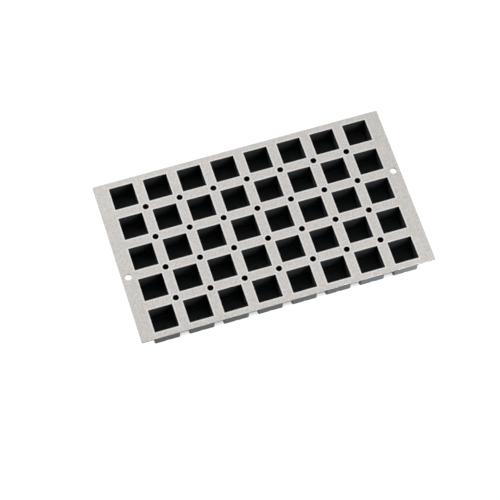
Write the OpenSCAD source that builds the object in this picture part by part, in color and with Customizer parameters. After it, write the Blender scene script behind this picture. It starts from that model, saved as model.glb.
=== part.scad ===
// Plug tray for raising seedlings: a flat deck with eight columns and five rows of square cells.
// Each cell is a separate moulded cup. Its rim stands in the deck plate's opening, its flange is
// bonded to the plate's underside, and a thin pale skin covers the plate and the rims.
// Origin: centre of the footprint, on the surface the tray stands on. +X is the long side,
// +Y points to the back row and +Z is up.

/* [Tray] */
// Length of the deck, along X
deck_l = 530; // [520:1:560]
// Width of the deck, along Y
deck_w = 310; // [300:1:340]
// Height of the whole tray, from the cells' feet to the top of the deck
tray_h = 45; // [35:1:80]
// Radius of the deck's four corners in plan
deck_corner_r = 1.5; // [0.5:0.5:6]

/* [Deck] */
// Thickness of the structural plate
plate_t = 2.5; // [2:0.1:4]
// Thickness of the pale skin laminated on the plate
skin_t = 0.5; // [0.4:0.1:1]
// Gap between a cell's rim and the plate's opening, on each side
rim_gap = 0.2; // [0.1:0.05:0.4]

/* [Cells] */
// Distance between the centres of neighbouring columns
pitch_x = 62; // [60:0.5:63]
// Distance between the centres of neighbouring rows
pitch_y = 61; // [60:0.5:63]
// Side of the square opening in the skin
mouth = 43.2; // [40:0.1:43.4]
// Corner radius of the opening in the skin
mouth_r = 0.8; // [0.4:0.1:2]
// Outer side of a cell just below the deck
cell_top = 46.8; // [46.6:0.1:47.2]
// Outer side of a cell at its foot
cell_foot = 46; // [44:0.1:46.4]
// Radius of a cell's upright outer edges
cell_edge_r = 3; // [2:0.5:5]
// Thickness of a cell's walls
wall_t = 1.6; // [1.2:0.1:1.6]
// Thickness of a cell's floor
floor_t = 1.6; // [1.2:0.1:3]
// Radius between a cell's walls and its floor, inside
floor_r = 2; // [1:0.5:4]
// Height of a cell's floor above the surface the tray stands on
foot_h = 3.4; // [2:0.1:6]
// Diameter of the drain hole in a cell's floor
drain_d = 3; // [2:0.5:16]

/* [Flange] */
// Side of the square flange round a cell, under the deck
flange = 54; // [52:0.5:56]
// Corner radius of the flange
flange_r = 6; // [4:0.5:10]
// Thickness of the flange
flange_t = 1.5; // [1:0.1:2.5]

/* [Foot notches] */
// Width of the water notch in the middle of each side of a cell's foot
notch_w = 6; // [3:0.5:12]
// Height of the water notch
notch_h = 1.5; // [0.5:0.1:1.9]

/* [Deck holes] */
// Diameter of the air holes where four cells meet
air_d = 11; // [6:0.5:12]
// Diameter of the two locating holes in the end margins
locate_d = 12; // [8:0.5:16]
// Distance from a short edge of the deck to the centre of its locating hole
locate_inset = 12; // [10:0.5:14]

/* [Hidden] */
cols = 8;
rows = 5;
plate_z = tray_h - skin_t - plate_t;
rim_z = tray_h - skin_t;
flange_z = plate_z - flange_t;
floor_z = foot_h + floor_t;
locate_x = deck_l / 2 - locate_inset;
locate_y = pitch_y / 2;
plate_mouth = cell_top + 2 * rim_gap;
through = 1;
$fn = 48;

function cell_name(r, c) = str("cell_r", r, "_c", c);
function col_x(c) = (c - (cols + 1) / 2) * pitch_x;
function row_y(r) = ((rows + 1) / 2 - r) * pitch_y;
// Half the outer side of a cell at height z: it narrows evenly from the deck to the foot
function half_at(z) = (cell_foot + (cell_top - cell_foot) * min(z / plate_z, 1)) / 2;

// A rectangle with round corners, centred on the origin
module round_rect(size_x, size_y, r) {
    square([size_x - 2 * r, size_y], center = true);
    square([size_x, size_y - 2 * r], center = true);
    for (sx = [-1, 1]) for (sy = [-1, 1])
        translate([sx * (size_x / 2 - r), sy * (size_y / 2 - r)])
            circle(r = r);
}

// One deck layer: its outline less the cell openings, the air holes and the locating holes
module deck_layer(thickness, opening, opening_r) {
    difference() {
        linear_extrude(thickness)
            round_rect(deck_l, deck_w, deck_corner_r);
        for (r = [1:rows]) for (c = [1:cols])
            translate([col_x(c), row_y(r), -through])
                linear_extrude(thickness + 2 * through)
                    round_rect(opening, opening, opening_r);
        for (r = [1:rows - 1]) for (c = [1:cols - 1])
            translate([col_x(c) + pitch_x / 2, row_y(r) - pitch_y / 2, -through])
                cylinder(h = thickness + 2 * through, d = air_d);
        for (s = [-1, 1])
            translate([s * locate_x, s * locate_y, -through])
                cylinder(h = thickness + 2 * through, d = locate_d);
    }
}

// Side view of a cell's outside: straight down to the foot
module outer_profile() {
    polygon([
        [-half_at(rim_z), rim_z],
        [-half_at(plate_z), plate_z],
        [-half_at(0), 0],
        [half_at(0), 0],
        [half_at(plate_z), plate_z],
        [half_at(rim_z), rim_z]
    ]);
}

// Side view of a cell's inside, with a round corner between wall and floor
module inner_profile() {
    bend_z = floor_z + floor_r;
    bend_x = half_at(bend_z) - wall_t;
    top_x = half_at(rim_z) - wall_t;
    polygon([
        [-top_x, rim_z + through],
        [-(half_at(plate_z) - wall_t), plate_z],
        [-bend_x, bend_z],
        [-(bend_x - floor_r), floor_z],
        [bend_x - floor_r, floor_z],
        [bend_x, bend_z],
        [half_at(plate_z) - wall_t, plate_z],
        [top_x, rim_z + through]
    ]);
    for (s = [-1, 1])
        translate([s * (bend_x - floor_r), bend_z])
            circle(r = floor_r);
}

// A square cup form: a side view drawn both ways, with its upright edges rounded
module square_form(side, edge_r) {
    depth = side + 2 * through;
    intersection() {
        rotate([90, 0, 0])
            linear_extrude(depth, center = true)
                children();
        rotate([90, 0, 90])
            linear_extrude(depth, center = true)
                children();
        translate([0, 0, -through])
            linear_extrude(tray_h + 2 * through)
                round_rect(side, side, edge_r);
    }
}

module deck_plate() {
    color("#1d1e1e")
        translate([0, 0, plate_z])
            deck_layer(plate_t, plate_mouth, cell_edge_r + rim_gap);
}

module deck_skin() {
    color("#c9c6c2")
        translate([0, 0, rim_z])
            deck_layer(skin_t, mouth, mouth_r);
}

// The hollow under the floor, which leaves a foot all round the cell
module foot_hollow() {
    hollow = cell_foot - 2 * wall_t;
    translate([0, 0, -through])
        linear_extrude(foot_h + through)
            round_rect(hollow, hollow, cell_edge_r - wall_t);
    for (a = [0, 90])
        rotate(a)
            translate([0, 0, (notch_h - through) / 2])
                cube([notch_w, cell_top + 2 * through, notch_h + through], center = true);
}

module cell(r, c) {
    color("#0c0d0d")
        translate([col_x(c), row_y(r), 0])
            difference() {
                union() {
                    square_form(cell_top, cell_edge_r)
                        outer_profile();
                    translate([0, 0, flange_z])
                        linear_extrude(flange_t)
                            round_rect(flange, flange, flange_r);
                }
                square_form(cell_top - 2 * wall_t, cell_edge_r - wall_t)
                    inner_profile();
                foot_hollow();
                translate([0, 0, foot_h - through])
                    cylinder(h = floor_t + 2 * through, d = drain_d);
            }
}

deck_plate();
deck_skin();
for (r = [1:rows]) for (c = [1:cols])
    cell(r, c);
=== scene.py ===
# Plug tray: a pale skin on a dark deck plate, with forty square black cells bonded beneath it.
# Metres throughout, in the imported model's frame: +X along the deck, +Y to the back row, +Z up.
import math

import bmesh
import bpy
from mathutils import Matrix, Vector


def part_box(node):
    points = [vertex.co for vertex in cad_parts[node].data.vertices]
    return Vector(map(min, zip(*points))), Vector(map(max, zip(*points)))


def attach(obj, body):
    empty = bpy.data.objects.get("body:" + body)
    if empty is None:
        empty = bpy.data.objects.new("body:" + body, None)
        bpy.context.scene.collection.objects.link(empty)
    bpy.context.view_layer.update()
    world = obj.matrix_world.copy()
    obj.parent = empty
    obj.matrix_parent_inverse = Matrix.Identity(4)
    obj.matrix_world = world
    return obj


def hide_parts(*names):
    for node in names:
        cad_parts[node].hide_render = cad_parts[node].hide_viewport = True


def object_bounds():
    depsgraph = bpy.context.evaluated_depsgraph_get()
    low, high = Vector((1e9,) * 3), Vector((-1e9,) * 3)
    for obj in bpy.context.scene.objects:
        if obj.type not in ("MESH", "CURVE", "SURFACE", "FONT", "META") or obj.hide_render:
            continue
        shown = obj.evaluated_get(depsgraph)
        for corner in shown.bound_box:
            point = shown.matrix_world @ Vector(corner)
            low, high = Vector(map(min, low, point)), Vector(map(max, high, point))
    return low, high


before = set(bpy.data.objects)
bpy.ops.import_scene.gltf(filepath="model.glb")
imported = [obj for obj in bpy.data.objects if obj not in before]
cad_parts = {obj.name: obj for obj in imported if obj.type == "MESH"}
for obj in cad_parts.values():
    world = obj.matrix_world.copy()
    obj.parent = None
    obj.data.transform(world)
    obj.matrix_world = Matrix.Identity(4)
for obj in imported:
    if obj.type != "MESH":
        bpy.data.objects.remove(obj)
cad_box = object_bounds()
MM = 0.001

# ---------------------------------------------------------------------------------------------
# Deck plate: injection-moulded black high-impact polystyrene, 2.5 mm thick.
# It holds the cells' rims in its square openings, and has the air holes and locating holes.
# Its grid of columns and rows is read off the cells' own boxes.
# ---------------------------------------------------------------------------------------------
COLUMNS, ROWS = 8, 5


def middle(node):
    low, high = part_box(node)
    return (Vector(low) + Vector(high)) / 2


def cell_name(row, column):
    return f"cell_r{row}_c{column}"


first, last = middle(cell_name(1, 1)), middle(cell_name(ROWS, COLUMNS))
PITCH_X = (last.x - first.x) / (COLUMNS - 1)
PITCH_Y = (first.y - last.y) / (ROWS - 1)
PLATE_LOW, PLATE_HIGH = (Vector(corner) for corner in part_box("deck_plate"))
DECK_LENGTH = PLATE_HIGH.x - PLATE_LOW.x
DECK_WIDTH = PLATE_HIGH.y - PLATE_LOW.y
DECK_CORNER_ROUND = 1.5 * MM
AIR_HOLE_RADIUS = 5.5 * MM
LOCATING_HOLE_RADIUS = 6.0 * MM
LOCATING_INSET = 12 * MM
PLATE_OPENING = 47.2 * MM
PLATE_OPENING_ROUND = 3.2 * MM
PLATE_EDGE_ROUND = 0.3 * MM
COOLING_PATCH = 26 * MM
FLOW_WAVE, FLOW_DEPTH = 14 * MM, 0.35 * MM


def linear(hex_colour):
    """An sRGB hex colour as linear RGBA."""
    channels = [int(hex_colour[i : i + 2], 16) / 255 for i in (1, 3, 5)]
    curve = [c / 12.92 if c <= 0.04045 else ((c + 0.055) / 1.055) ** 2.4 for c in channels]
    return (*curve, 1.0)


def add(tree, kind, links=None, **settings):
    """Adds a node with its settings. links maps each input to a socket or to a constant."""
    made = tree.nodes.new(kind)
    for name, value in settings.items():
        setattr(made, name, value)
    for name, source in (links or {}).items():
        if isinstance(source, bpy.types.NodeSocket):
            tree.links.new(source, made.inputs[name])
        else:
            made.inputs[name].default_value = source
    return made


def new_material(name):
    """A material with an empty tree, its tree and its output node."""
    made = bpy.data.materials.new(name)
    made.use_nodes = True
    made.node_tree.nodes.clear()
    return made, made.node_tree


def black_plastic(name, base, roughness, grain, grain_depth, unevenness):
    """Moulded black plastic, satin rather than glossy: a dark body colour under a smooth
    surface that mirrors the room faintly. Fine spark-eroded grain breaks the mirror up, and
    its polish varies from place to place as the melt flowed and cooled."""
    made, tree = new_material(name)
    place = add(tree, "ShaderNodeTexCoord").outputs["Object"]
    cooling = add(
        tree,
        "ShaderNodeTexNoise",
        {"Vector": place, "Scale": 1 / COOLING_PATCH, "Detail": 3.0, "Roughness": 0.55},
    )
    polish = add(
        tree,
        "ShaderNodeMapRange",
        {
            "Value": cooling.outputs["Fac"],
            "From Min": 0.3,
            "From Max": 0.7,
            "To Min": roughness - unevenness,
            "To Max": roughness + unevenness,
        },
    )
    tone = add(
        tree,
        "ShaderNodeMixRGB",
        {
            "Fac": cooling.outputs["Fac"],
            "Color1": linear(base[0]),
            "Color2": linear(base[1]),
        },
    )
    spark_grain = add(
        tree,
        "ShaderNodeTexNoise",
        {"Vector": place, "Scale": 1 / grain, "Detail": 2.0, "Roughness": 0.6},
    )
    flow = add(
        tree, "ShaderNodeTexNoise", {"Vector": place, "Scale": 1 / FLOW_WAVE, "Detail": 1.0}
    )
    waves = add(
        tree,
        "ShaderNodeBump",
        {"Height": flow.outputs["Fac"], "Strength": 0.25, "Distance": FLOW_DEPTH},
    )
    bump = add(
        tree,
        "ShaderNodeBump",
        {
            "Height": spark_grain.outputs["Fac"],
            "Normal": waves.outputs["Normal"],
            "Strength": 0.5,
            "Distance": grain_depth,
        },
    )
    shader = add(
        tree,
        "ShaderNodeBsdfPrincipled",
        {
            "Base Color": tone.outputs["Color"],
            "Roughness": polish.outputs["Result"],
            "IOR": 1.42,
            "Normal": bump.outputs["Normal"],
        },
    )
    add(tree, "ShaderNodeOutputMaterial", {"Surface": shader.outputs["BSDF"]})
    return made


def deck_tree():
    """Geometry Nodes for one flat deck layer: outline, openings and holes, filled and thickened."""
    tree = bpy.data.node_groups.new("deck_layer", "GeometryNodeTree")
    face = tree.interface
    sizes = (
        "Length",
        "Width",
        "Thickness",
        "Corner Round",
        "Opening",
        "Opening Round",
        "Pitch X",
        "Pitch Y",
        "Air Hole Radius",
        "Locating Hole Radius",
        "Locating Inset",
        "Underside",
    )
    for name in sizes:
        face.new_socket(name, in_out="INPUT", socket_type="NodeSocketFloat")
    for name in ("Columns", "Rows"):
        face.new_socket(name, in_out="INPUT", socket_type="NodeSocketInt")
    face.new_socket("Finish", in_out="INPUT", socket_type="NodeSocketMaterial")
    face.new_socket("Geometry", in_out="OUTPUT", socket_type="NodeSocketGeometry")
    given = add(tree, "NodeGroupInput").outputs

    def rounded(width, height, radius, count):
        outline = add(
            tree, "GeometryNodeCurvePrimitiveQuadrilateral", {"Width": width, "Height": height}
        )
        return add(
            tree,
            "GeometryNodeFilletCurve",
            {"Curve": outline.outputs["Curve"], "Radius": radius, "Count": count},
            mode="POLY",
        ).outputs["Curve"]

    def on_grid(curve, fewer):
        """The curve at each cell's centre, or with one row and column fewer at each crossing."""
        extent = {}
        for axis, amount in (("X", "Columns"), ("Y", "Rows")):
            count = add(tree, "ShaderNodeMath", {0: given[amount], 1: fewer}, operation="SUBTRACT")
            gaps = add(tree, "ShaderNodeMath", {0: count.outputs[0], 1: 1}, operation="SUBTRACT")
            size = add(
                tree,
                "ShaderNodeMath",
                {0: gaps.outputs[0], 1: given["Pitch " + axis]},
                operation="MULTIPLY",
            )
            extent["Vertices " + axis] = count.outputs[0]
            extent["Size " + axis] = size.outputs[0]
        grid = add(tree, "GeometryNodeMeshGrid", extent)
        return add(
            tree,
            "GeometryNodeInstanceOnPoints",
            {"Points": grid.outputs["Mesh"], "Instance": curve},
        ).outputs["Instances"]

    deck = rounded(given["Length"], given["Width"], given["Corner Round"], 6)
    opening = rounded(given["Opening"], given["Opening"], given["Opening Round"], 6)
    air_hole = add(
        tree,
        "GeometryNodeCurvePrimitiveCircle",
        {"Resolution": 40, "Radius": given["Air Hole Radius"]},
    ).outputs["Curve"]
    locating_hole = add(
        tree,
        "GeometryNodeCurvePrimitiveCircle",
        {"Resolution": 44, "Radius": given["Locating Hole Radius"]},
    ).outputs["Curve"]
    half = add(tree, "ShaderNodeMath", {0: given["Length"], 1: 2}, operation="DIVIDE")
    inboard = add(
        tree,
        "ShaderNodeMath",
        {0: half.outputs[0], 1: given["Locating Inset"]},
        operation="SUBTRACT",
    )
    off_centre = add(tree, "ShaderNodeMath", {0: given["Pitch Y"], 1: 2}, operation="DIVIDE")
    right_end = add(
        tree, "ShaderNodeCombineXYZ", {"X": inboard.outputs[0], "Y": off_centre.outputs[0]}
    )
    left_end = add(
        tree,
        "ShaderNodeVectorMath",
        {0: right_end.outputs["Vector"], "Scale": -1},
        operation="SCALE",
    )
    ends = add(
        tree,
        "GeometryNodeMeshLine",
        {
            "Count": 2,
            "Start Location": left_end.outputs["Vector"],
            "Offset": right_end.outputs["Vector"],
        },
        mode="END_POINTS",
    )
    locating_holes = add(
        tree,
        "GeometryNodeInstanceOnPoints",
        {"Points": ends.outputs["Mesh"], "Instance": locating_hole},
    ).outputs["Instances"]
    outlines = add(tree, "GeometryNodeJoinGeometry")
    for curve in (deck, on_grid(opening, 0), on_grid(air_hole, 1), locating_holes):
        tree.links.new(curve, outlines.inputs["Geometry"])
    flat = add(
        tree,
        "GeometryNodeFillCurve",
        {
            "Curve": add(
                tree, "GeometryNodeRealizeInstances", {"Geometry": outlines.outputs["Geometry"]}
            ).outputs["Geometry"]
        },
        mode="TRIANGLES",
    ).outputs["Mesh"]
    walls = add(
        tree,
        "GeometryNodeExtrudeMesh",
        {"Mesh": flat, "Offset Scale": given["Thickness"], "Individual": False},
    ).outputs["Mesh"]
    under = add(tree, "GeometryNodeFlipFaces", {"Mesh": flat}).outputs["Mesh"]
    solid = add(tree, "GeometryNodeJoinGeometry")
    for part in (walls, under):
        tree.links.new(part, solid.inputs["Geometry"])
    closed = add(
        tree,
        "GeometryNodeMergeByDistance",
        {"Geometry": solid.outputs["Geometry"], "Distance": 0.005 * MM},
    ).outputs["Geometry"]
    raised = add(
        tree,
        "GeometryNodeTransform",
        {
            "Geometry": closed,
            "Translation": add(
                tree, "ShaderNodeCombineXYZ", {"Z": given["Underside"]}
            ).outputs["Vector"],
        },
    ).outputs["Geometry"]
    finished = add(
        tree, "GeometryNodeSetMaterial", {"Geometry": raised, "Material": given["Finish"]}
    ).outputs["Geometry"]
    out = add(tree, "NodeGroupOutput")
    tree.links.new(finished, out.inputs["Geometry"])
    return tree


DECK_TREE = deck_tree()


def plain_mesh(maker, name):
    """What the object's modifiers make, as a new object with a plain mesh at the origin."""
    bpy.context.view_layer.update()
    evaluated = maker.evaluated_get(bpy.context.evaluated_depsgraph_get())
    mesh = bpy.data.meshes.new_from_object(evaluated)
    mesh.name = name
    made = bpy.data.objects.new(name, mesh)
    bpy.context.scene.collection.objects.link(made)
    spare = maker.data
    bpy.data.objects.remove(maker)
    bpy.data.meshes.remove(spare)
    return made


def deck_layer(name, low, high, opening, opening_round, edge_round, finish):
    """One layer of the deck between two heights, with its edges rounded."""
    maker = bpy.data.objects.new(name + "_maker", bpy.data.meshes.new(name + "_maker"))
    bpy.context.scene.collection.objects.link(maker)
    grow = maker.modifiers.new("layer", "NODES")
    grow.node_group = DECK_TREE
    values = {
        "Length": DECK_LENGTH,
        "Width": DECK_WIDTH,
        "Thickness": high - low,
        "Corner Round": DECK_CORNER_ROUND,
        "Opening": opening,
        "Opening Round": opening_round,
        "Pitch X": PITCH_X,
        "Pitch Y": PITCH_Y,
        "Air Hole Radius": AIR_HOLE_RADIUS,
        "Locating Hole Radius": LOCATING_HOLE_RADIUS,
        "Locating Inset": LOCATING_INSET,
        "Underside": low,
        "Columns": COLUMNS,
        "Rows": ROWS,
        "Finish": finish,
    }
    for label, value in values.items():
        grow[DECK_TREE.interface.items_tree[label].identifier] = value
    rounding = maker.modifiers.new("edges", "BEVEL")
    rounding.width = edge_round
    rounding.segments = 3
    rounding.limit_method = "ANGLE"
    rounding.angle_limit = math.radians(50)
    rounding.harden_normals = True
    return plain_mesh(maker, name)


plate_finish = black_plastic(
    "moulded_black_styrene_plate",
    base=("#1b1c1c", "#232424"),
    roughness=0.36,
    grain=0.9 * MM,
    grain_depth=0.05 * MM,
    unevenness=0.05,
)
plate = deck_layer(
    "deck_plate_moulding",
    PLATE_LOW.z,
    PLATE_HIGH.z,
    PLATE_OPENING,
    PLATE_OPENING_ROUND,
    PLATE_EDGE_ROUND,
    plate_finish,
)
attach(plate, "root")
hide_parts("deck_plate")

# ---------------------------------------------------------------------------------------------
# Cells: forty thin-walled cups, each one moulding in satin black polypropylene.
# The rim stands in the plate's opening and the flange is bonded to the plate's underside.
# Sizes in this section are in millimetres.
# ---------------------------------------------------------------------------------------------
CELL_LOW, CELL_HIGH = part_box(cell_name(1, 1))
RIM_Z = (CELL_HIGH[2] - cad_box[0][2]) / MM
FLANGE_TOP = PLATE_LOW.z / MM
FLANGE_THICK = 1.5
FLANGE_HALF = (CELL_HIGH[0] - CELL_LOW[0]) / 2 / MM
FLANGE_ROUND = 6.0
WALL = 1.6
TOP_HALF, FOOT_HALF = 23.4, 23.0
EDGE_ROUND = 3.0
FOOT_HEIGHT, FLOOR_THICK = 3.4, 1.6
FLOOR_ROUND = 2.0
DRAIN_RADIUS = 1.5
DISH_DEPTH = 0.35
NOTCH_HEIGHT, NOTCH_REACH = 1.5, 0.15
BOW, NARROWEST_WALL = 0.22, 20
SIDE_COLUMNS = (-1.0, -0.6, -0.175, -0.145, 0.145, 0.175, 0.6, 1.0)
ARC_STEPS = 6
LIP, FLANGE_FILLET, FOOT_ROUND, HOLLOW_ROUND, DRAIN_EDGE = 0.3, 1.2, 0.5, 0.8, 0.25
OUTSIDE_HEIGHTS = (34, 28, 22, 16, 10, 5, 2)
INSIDE_HEIGHTS = (12, 18, 24, 30, 36, 41)
SQUARE_TO_ROUND_UNDER = ((16.0, 0.35), (10.0, 0.8), (5.0, 1.0))
ROUND_TO_SQUARE_FLOOR = ((5.0, 1.0), (9.0, 0.9), (13.0, 0.6), (16.5, 0.25))


def half_at(z):
    """Half the outer side of a cell at height z in millimetres: it narrows to the foot."""
    return FOOT_HALF + (TOP_HALF - FOOT_HALF) * min(z / FLANGE_TOP, 1)


def cell_sections():
    """The cell's wall as square sections (half side, corner radius, height, roundness) in
    millimetres, once round the wall: over the rim, down the outside, under and up the inside."""
    inner_round = EDGE_ROUND - WALL
    floor_z = FOOT_HEIGHT + FLOOR_THICK
    quarter = [math.radians(a) for a in (0, 30, 60, 90)]

    def arc(half, z, radius, corner, side, up, start=0):
        """Quarter turn about (half, z), from beside it to above or below it."""
        for turn in quarter[start:]:
            across, along = math.cos(turn), math.sin(turn)
            yield (half + side * radius * across, corner, z + up * radius * along, 0.0)

    def back(steps):
        return list(steps)[::-1]

    top_in = half_at(RIM_Z) - WALL
    made = list(arc(top_in + LIP, RIM_Z - LIP, LIP, inner_round, -1, 1))
    made += back(arc(TOP_HALF - LIP, RIM_Z - LIP, LIP, EDGE_ROUND, 1, 1))
    made += [(TOP_HALF, EDGE_ROUND, FLANGE_TOP + 0.1, 0.0)]
    made += [(TOP_HALF + 0.1, EDGE_ROUND, FLANGE_TOP, 0.0)]
    made += back(arc(FLANGE_HALF - LIP, FLANGE_TOP - LIP, LIP, FLANGE_ROUND, 1, 1))
    flange_low = FLANGE_TOP - FLANGE_THICK
    made += list(arc(FLANGE_HALF - LIP, flange_low + LIP, LIP, FLANGE_ROUND, 1, -1))
    wall_top = flange_low - FLANGE_FILLET
    outer = half_at(wall_top) + FLANGE_FILLET
    made += back(arc(outer, wall_top, FLANGE_FILLET, EDGE_ROUND, -1, 1))
    for z in OUTSIDE_HEIGHTS:
        made.append((half_at(z), EDGE_ROUND, float(z), 0.0))
    made += list(arc(FOOT_HALF - FOOT_ROUND, FOOT_ROUND, FOOT_ROUND, EDGE_ROUND, 1, -1))
    foot_in = FOOT_HALF - WALL
    made += back(arc(foot_in + LIP, LIP, LIP, inner_round, -1, -1))
    made += list(
        arc(foot_in - HOLLOW_ROUND, FOOT_HEIGHT - HOLLOW_ROUND, HOLLOW_ROUND, inner_round, 1, 1)
    )
    for half, roundness in SQUARE_TO_ROUND_UNDER:
        made.append((half, inner_round, FOOT_HEIGHT, roundness))
    for turn in quarter[::-1]:
        half = DRAIN_RADIUS + DRAIN_EDGE * (1 - math.cos(turn))
        z = FOOT_HEIGHT + DRAIN_EDGE * (1 - math.sin(turn))
        made.append((half, inner_round, z, 1.0))
    for turn in quarter:
        half = DRAIN_RADIUS + DRAIN_EDGE * (1 - math.cos(turn))
        z = floor_z - DISH_DEPTH - DRAIN_EDGE * (1 - math.sin(turn))
        made.append((half, inner_round, z, 1.0))
    bend_z = floor_z + FLOOR_ROUND
    bend = half_at(bend_z) - WALL - FLOOR_ROUND
    for half, roundness in ROUND_TO_SQUARE_FLOOR:
        fall = DISH_DEPTH * (1 - ((half - DRAIN_RADIUS) / (bend - DRAIN_RADIUS)) ** 1.5)
        made.append((half, inner_round, floor_z - fall, roundness))
    made += back(arc(bend, bend_z, FLOOR_ROUND, inner_round, 1, -1))
    for z in INSIDE_HEIGHTS:
        made.append((half_at(z) - WALL, inner_round, float(z), 0.0))
    return made


def section_points(half, corner, z, roundness):
    """One section's points in millimetres, anticlockwise seen from above."""
    corner = min(corner, half)
    straight = half - corner
    points = []
    for side in range(4):
        turn = Matrix.Rotation(math.radians(90 * side), 2)
        for place in SIDE_COLUMNS:
            bow = 0.0
            if half > NARROWEST_WALL and roundness == 0:
                bow = BOW * (1 - place * place) * math.sin(math.pi * min(z / FLANGE_TOP, 1))
            lift = NOTCH_HEIGHT if abs(place) < NOTCH_REACH and z < NOTCH_HEIGHT else z
            points.append((turn @ Vector((half - bow, straight * place)), lift))
        for step in range(1, ARC_STEPS):
            angle = math.radians(90 * step / ARC_STEPS)
            reach = Vector((math.cos(angle), math.sin(angle))) * corner
            points.append((turn @ (Vector((straight, straight)) + reach), z))
    count = len(points)
    for index, (flat, height) in enumerate(points):
        angle = (index - (len(SIDE_COLUMNS) - 1) / 2) * 2 * math.pi / count
        ring = Vector((math.cos(angle), math.sin(angle))) * half
        points[index] = Vector((*flat.lerp(ring, roundness), height))
    return points


def cell_mesh(finish):
    """The mesh of one cell, centred on the Z axis, with area-weighted normals."""
    shape = bmesh.new()
    rings = [
        [shape.verts.new(p * MM) for p in section_points(*section)] for section in cell_sections()
    ]
    for ring, following in zip(rings, rings[1:] + rings[:1]):
        for i in range(len(ring)):
            j = (i + 1) % len(ring)
            shape.faces.new((ring[i], ring[j], following[j], following[i]))
    bmesh.ops.recalc_face_normals(shape, faces=shape.faces)
    for face in shape.faces:
        face.smooth = True
    mesh = bpy.data.meshes.new("cell_maker")
    shape.to_mesh(mesh)
    shape.free()
    mesh.materials.append(finish)
    maker = bpy.data.objects.new("cell_maker", mesh)
    bpy.context.scene.collection.objects.link(maker)
    even = maker.modifiers.new("even_normals", "WEIGHTED_NORMAL")
    even.weight = 80
    return plain_mesh(maker, "cell_form")


cell_finish = black_plastic(
    "moulded_black_polypropylene_cell",
    base=("#262a2c", "#2f3335"),
    roughness=0.55,
    grain=0.7 * MM,
    grain_depth=0.04 * MM,
    unevenness=0.05,
)
form = cell_mesh(cell_finish)
for row in range(1, ROWS + 1):
    for column in range(1, COLUMNS + 1):
        node = cell_name(row, column)
        centre = middle(node)
        mesh = form.data.copy()
        mesh.transform(Matrix.Translation((centre.x, centre.y, cad_box[0][2])))
        cup = bpy.data.objects.new(node + "_moulding", mesh)
        bpy.context.scene.collection.objects.link(cup)
        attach(cup, "root")
        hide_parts(node)
bpy.data.objects.remove(form)

# ---------------------------------------------------------------------------------------------
# Deck skin: a half-millimetre sheet of pale grey styrene, laminated on the plate.
# Its openings are a little smaller than the cells' mouths, so it hides the rims.
# ---------------------------------------------------------------------------------------------
SKIN_LOW, SKIN_HIGH = (Vector(corner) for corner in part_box("deck_skin"))
SKIN_OPENING = 43.2 * MM
SKIN_OPENING_ROUND = 0.8 * MM
SKIN_EDGE_ROUND = 0.18 * MM
# The paler band round the openings and holes is a painted edge highlight: its width, fade and
# strength.
EDGE_HIGHLIGHT_WIDTH, EDGE_HIGHLIGHT_FADE, EDGE_HIGHLIGHT_GAIN = 3.2 * MM, 1.2 * MM, 0.65
CLOUD_SIZE = 45 * MM
MOTTLE_SIZE, MOTTLE_GAIN = 2.0 * MM, 0.72
EMBOSS_SIZE, EMBOSS_DEPTH = 1.1 * MM, 0.06 * MM


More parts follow.
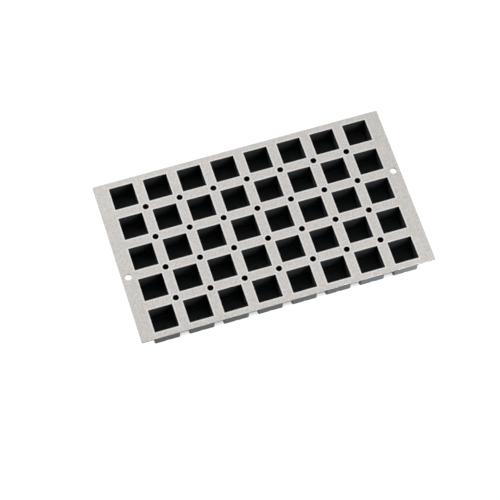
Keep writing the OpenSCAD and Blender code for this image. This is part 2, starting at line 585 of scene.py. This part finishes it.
def pale_skin():
    """Calendered pale grey polystyrene sheet: matt with a soft sheen. Its pigment is unevenly
    mixed, which leaves a fine mottle, and a fine emboss scatters the light. A paler band
    round each opening and hole is a painted edge highlight, put into the colour. The real
    mottle and bright edges are finer, and are drawn as coarse as they need to show."""
    made, tree = new_material("calendered_pale_grey_styrene")
    place = add(tree, "ShaderNodeTexCoord").outputs["Object"]
    away = add(tree, "ShaderNodeVectorMath", {0: place}, operation="ABSOLUTE")
    apart = add(tree, "ShaderNodeSeparateXYZ", {"Vector": away.outputs["Vector"]})

    def from_grid(start):
        """Where each point lies from the nearest point of the cells' grid, begun at start."""
        moved = add(tree, "ShaderNodeVectorMath", {0: place, 1: start}, operation="SUBTRACT")
        return add(
            tree,
            "ShaderNodeVectorMath",
            {
                0: moved.outputs["Vector"],
                1: (PITCH_X / 2, PITCH_Y / 2, 1),
                2: (-PITCH_X / 2, -PITCH_Y / 2, -1),
            },
            operation="WRAP",
        ).outputs["Vector"]

    def band(distance, edge):
        """1 beside the edge at that distance, fading to 0 at the limit of the painted highlight
        band.
        """
        limit = edge + EDGE_HIGHLIGHT_WIDTH
        return add(
            tree,
            "ShaderNodeMapRange",
            {"Value": distance, "From Min": limit, "From Max": limit - EDGE_HIGHLIGHT_FADE},
        ).outputs["Result"]

    def within(axis, limit):
        """1 nearer to the middle of the deck than the limit, else 0."""
        return add(
            tree, "ShaderNodeMath", {0: apart.outputs[axis], 1: limit}, operation="LESS_THAN"
        ).outputs[0]

    from_cell = add(
        tree, "ShaderNodeVectorMath", {0: from_grid((PITCH_X / 2, 0, 0))}, operation="ABSOLUTE"
    )
    beside = add(tree, "ShaderNodeSeparateXYZ", {"Vector": from_cell.outputs["Vector"]})
    square = add(
        tree,
        "ShaderNodeMath",
        {0: beside.outputs["X"], 1: beside.outputs["Y"]},
        operation="MAXIMUM",
    )
    square_edge = add(
        tree,
        "ShaderNodeMath",
        {0: band(square.outputs[0], SKIN_OPENING / 2), 1: within("X", COLUMNS / 2 * PITCH_X)},
        operation="MULTIPLY",
    )
    from_hole = add(
        tree,
        "ShaderNodeVectorMath",
        {0: from_grid((0, PITCH_Y / 2, 0)), 1: (1, 1, 0)},
        operation="MULTIPLY",
    )
    radius = add(
        tree, "ShaderNodeVectorMath", {0: from_hole.outputs["Vector"]}, operation="LENGTH"
    )
    crossings = add(
        tree,
        "ShaderNodeMath",
        {
            0: within("X", (COLUMNS - 1) / 2 * PITCH_X),
            1: within("Y", (ROWS - 1) / 2 * PITCH_Y),
        },
        operation="MULTIPLY",
    )
    round_edge = add(
        tree,
        "ShaderNodeMath",
        {0: band(radius.outputs["Value"], AIR_HOLE_RADIUS), 1: crossings.outputs[0]},
        operation="MULTIPLY",
    )
    # Painted edge highlight: a paler band round the square openings and the air holes.
    edge_highlight = add(
        tree,
        "ShaderNodeMath",
        {0: square_edge.outputs[0], 1: round_edge.outputs[0]},
        operation="MAXIMUM",
    )
    paler = add(
        tree, "ShaderNodeMath", {0: edge_highlight.outputs[0], 1: EDGE_HIGHLIGHT_GAIN}, operation="MULTIPLY"
    )
    cloud = add(
        tree,
        "ShaderNodeTexNoise",
        {"Vector": place, "Scale": 1 / CLOUD_SIZE, "Detail": 4.0, "Roughness": 0.6},
    )
    body = add(
        tree,
        "ShaderNodeMixRGB",
        {"Fac": cloud.outputs["Fac"], "Color1": linear("#cac7c3"), "Color2": linear("#d2cfcb")},
    )
    speck = add(
        tree,
        "ShaderNodeTexNoise",
        {"Vector": place, "Scale": 1 / MOTTLE_SIZE, "Detail": 1.5, "Roughness": 0.7},
    )
    speckle = add(
        tree,
        "ShaderNodeMapRange",
        {"Value": speck.outputs["Fac"], "From Min": 0.36, "From Max": 0.64},
    )
    mottled = add(
        tree,
        "ShaderNodeMixRGB",
        {
            "Fac": speckle.outputs["Result"],
            "Color1": linear("#bdbab5"),
            "Color2": linear("#dfdbd8"),
        },
    )
    blended = add(
        tree,
        "ShaderNodeMixRGB",
        {
            "Fac": MOTTLE_GAIN,
            "Color1": body.outputs["Color"],
            "Color2": mottled.outputs["Color"],
        },
    )
    # The painted edge highlight mixes the skin towards this paler grey.
    finished = add(
        tree,
        "ShaderNodeMixRGB",
        {
            "Fac": paler.outputs[0],
            "Color1": blended.outputs["Color"],
            "Color2": linear("#e9e7e4"),
        },
    )
    emboss = add(
        tree,
        "ShaderNodeTexNoise",
        {"Vector": place, "Scale": 1 / EMBOSS_SIZE, "Detail": 2.0, "Roughness": 0.6},
    )
    bump = add(
        tree,
        "ShaderNodeBump",
        {"Height": emboss.outputs["Fac"], "Strength": 0.35, "Distance": EMBOSS_DEPTH},
    )
    shader = add(
        tree,
        "ShaderNodeBsdfPrincipled",
        {
            "Base Color": finished.outputs["Color"],
            "Roughness": 0.66,
            "IOR": 1.5,
            "Normal": bump.outputs["Normal"],
        },
    )
    add(tree, "ShaderNodeOutputMaterial", {"Surface": shader.outputs["BSDF"]})
    return made


skin = deck_layer(
    "deck_skin_sheet",
    SKIN_LOW.z,
    SKIN_HIGH.z,
    SKIN_OPENING,
    SKIN_OPENING_ROUND,
    SKIN_EDGE_ROUND,
    pale_skin(),
)
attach(skin, "root")
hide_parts("deck_skin")

# ---------------------------------------------------------------------------------------------
# Studio: a glowing white floor with painted shade under the tray, soft boxes and the camera.
# Angles are in degrees, azimuth from the front towards the right.
# ---------------------------------------------------------------------------------------------
FLOOR_HALF, FLOOR_GAP = 9.0, 0.2 * MM
# Distances from the middle over which the floor's glow rises from 0 under the tray to full: painted
# shade under the tray, with a soft painted contact shadow at its edge.
UNDER_TRAY_SHADE_X = (0.225, 0.245)
UNDER_TRAY_SHADE_Y = (0.128, 0.148)
AIM = Vector((-0.03705, -0.04308, SKIN_HIGH.z))
CAMERA_DISTANCE = 3.3029
CAMERA_AZIMUTH, CAMERA_ELEVATION, CAMERA_ROLL = -19.662, 64.279, 2.180
LENS = 137.07


def floor():
    """A white floor that glows, with its glow faded to black under the tray: painted shade
    where the tray's shadow falls, so that no light comes up through the holes."""
    mesh = bpy.data.meshes.new("floor")
    shape = bmesh.new()
    corners = [(-1, -1), (1, -1), (1, 1), (-1, 1)]
    shape.faces.new([shape.verts.new((x * FLOOR_HALF, y * FLOOR_HALF, 0)) for x, y in corners])
    shape.to_mesh(mesh)
    shape.free()
    made, tree = new_material("studio_floor")
    place = add(tree, "ShaderNodeTexCoord").outputs["Object"]
    apart = add(tree, "ShaderNodeSeparateXYZ", {"Vector": place})

    def outside(axis, low, high):
        """Rises from 0 to 1 as the distance from the axis goes from low to high."""
        away = add(tree, "ShaderNodeMath", {0: apart.outputs[axis]}, operation="ABSOLUTE")
        return add(
            tree,
            "ShaderNodeMapRange",
            {"Value": away.outputs[0], "From Min": low, "From Max": high},
            interpolation_type="SMOOTHSTEP",
        ).outputs["Result"]

    # Painted shade: the glow is 0 under the tray and rises to 1 outside it.
    clear = add(
        tree,
        "ShaderNodeMath",
        {0: outside("X", *UNDER_TRAY_SHADE_X), 1: outside("Y", *UNDER_TRAY_SHADE_Y)},
        operation="MAXIMUM",
    )
    shader = add(
        tree,
        "ShaderNodeBsdfPrincipled",
        {
            "Base Color": (0.03, 0.03, 0.03, 1),
            "Roughness": 0.9,
            "Emission Color": (1, 1, 1, 1),
            "Emission Strength": clear.outputs[0],
        },
    )
    add(tree, "ShaderNodeOutputMaterial", {"Surface": shader.outputs["BSDF"]})
    mesh.materials.append(made)
    ground = bpy.data.objects.new("studio_floor", mesh)
    ground.location.z = cad_box[0][2] - FLOOR_GAP
    bpy.context.scene.collection.objects.link(ground)


def from_angles(azimuth, elevation):
    """The unit vector towards a place at that azimuth and elevation in degrees."""
    a, e = math.radians(azimuth), math.radians(elevation)
    return Vector((math.sin(a) * math.cos(e), -math.cos(a) * math.cos(e), math.sin(e)))


def soft_box(name, azimuth, elevation, distance, size, power):
    """A square area light that faces the tray."""
    lamp = bpy.data.lights.new(name, "AREA")
    lamp.shape = "SQUARE"
    lamp.size = size
    lamp.energy = power
    towards = from_angles(azimuth, elevation)
    made = bpy.data.objects.new(name, lamp)
    made.location = towards * distance
    made.rotation_mode = "QUATERNION"
    made.rotation_quaternion = (-towards).to_track_quat("-Z", "Y")
    bpy.context.scene.collection.objects.link(made)


floor()
SOFT_BOXES = (  # name, azimuth, elevation, distance, size, power in watts
    ("back_left", -135, 32, 3.0, 1.9, 53),
    ("back_left_near", -135, 42, 1.3, 0.9, 4.2),
    ("behind", 160, 64, 2.0, 1.5, 5.2),
    ("front_right", 35, 18, 3.0, 2.2, 95),
    ("front_high", 28, 38, 1.3, 1.1, 2.2),
    ("front_near", 32, 16, 0.9, 0.4, 1.4),
    ("low_right", 62, 2.4, 0.6, 0.03, 10.5),
)
for name, azimuth, elevation, distance, size, power in SOFT_BOXES:
    soft_box(name, azimuth, elevation, distance, size, power)

world = bpy.data.worlds.new("studio")
world.use_nodes = True
world.node_tree.nodes.clear()
sky = add(world.node_tree, "ShaderNodeBackground", {"Color": (1, 1, 1, 1), "Strength": 0.03})
add(world.node_tree, "ShaderNodeOutputWorld", {"Surface": sky.outputs["Background"]})
bpy.context.scene.world = world

lens = bpy.data.cameras.new("camera")
lens.sensor_width = 36
lens.lens = LENS
lens.clip_start, lens.clip_end = 0.1, 50
camera = bpy.data.objects.new("camera", lens)
towards = from_angles(CAMERA_AZIMUTH, CAMERA_ELEVATION)
camera.location = AIM + towards * CAMERA_DISTANCE
camera.rotation_mode = "QUATERNION"
roll = Matrix.Rotation(math.radians(CAMERA_ROLL), 3, "Z").to_quaternion()
camera.rotation_quaternion = (-towards).to_track_quat("-Z", "Y") @ roll
bpy.context.scene.collection.objects.link(camera)
bpy.context.scene.camera = camera
bpy.context.scene.view_settings.view_transform = "Standard"
